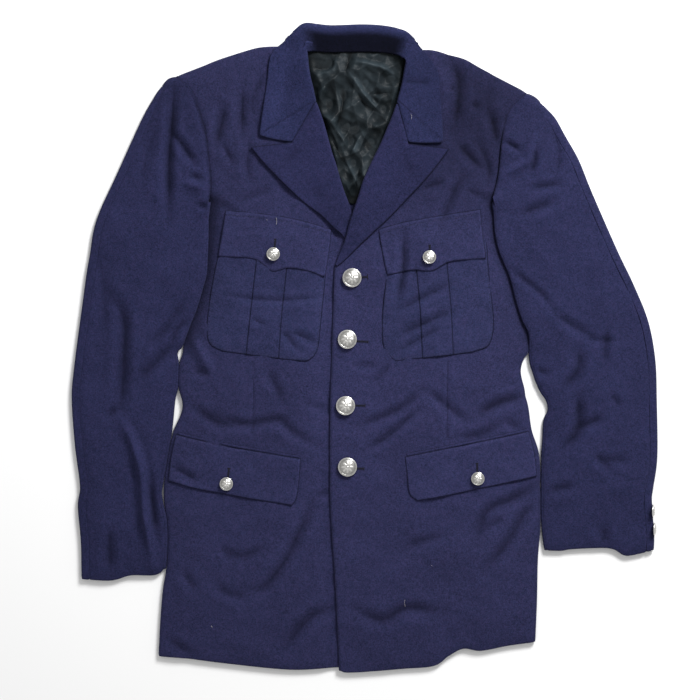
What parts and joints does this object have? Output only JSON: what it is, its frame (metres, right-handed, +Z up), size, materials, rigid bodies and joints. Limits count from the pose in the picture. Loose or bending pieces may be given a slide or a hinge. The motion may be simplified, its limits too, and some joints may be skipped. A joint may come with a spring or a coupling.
{
  "type": "dress uniform jacket",
  "caption": "Single-breasted dress uniform jacket laid flat, front up, with peaked lapels, pleated breast pockets under pointed flaps, hip pocket flaps and domed metal buttons.",
  "frame": {"origin": "middle of the outline, on the surface the jacket lies on", "axes": "+Y towards the collar, +Z up out of the jacket's front, +X towards the wearer's left"},
  "size_m": [0.7002, 0.7742, 0.016],
  "materials": {
    "navy wool": "fine matt twill",
    "lining satin": "soft sheen",
    "nickel silver": "satin polish"
  },
  "bodies": {
    "root": {"back_right": "navy wool", "back_left": "navy wool", "side_panel_right": "navy wool", "side_panel_left": "navy wool", "front_right": "navy wool", "front_left": "navy wool", "top_sleeve_right": "navy wool", "top_sleeve_left": "navy wool", "under_sleeve_right": "navy wool", "under_sleeve_left": "navy wool", "breast_pocket_right": "navy wool", "breast_pocket_left": "navy wool", "breast_flap_right": "navy wool", "breast_flap_left": "navy wool", "hip_flap_right": "navy wool", "hip_flap_left": "navy wool", "lapel_right": "navy wool", "lapel_left": "navy wool", "collar": "navy wool", "under_collar": "navy wool", "lining": "lining satin", "front_button_1": "nickel silver", "front_button_2": "nickel silver", "front_button_3": "nickel silver", "front_button_4": "nickel silver", "breast_button_right": "nickel silver", "breast_button_left": "nickel silver", "hip_button_right": "nickel silver", "hip_button_left": "nickel silver", "cuff_button_1": "nickel silver", "cuff_button_2": "nickel silver"}
  },
  "joints": []
}
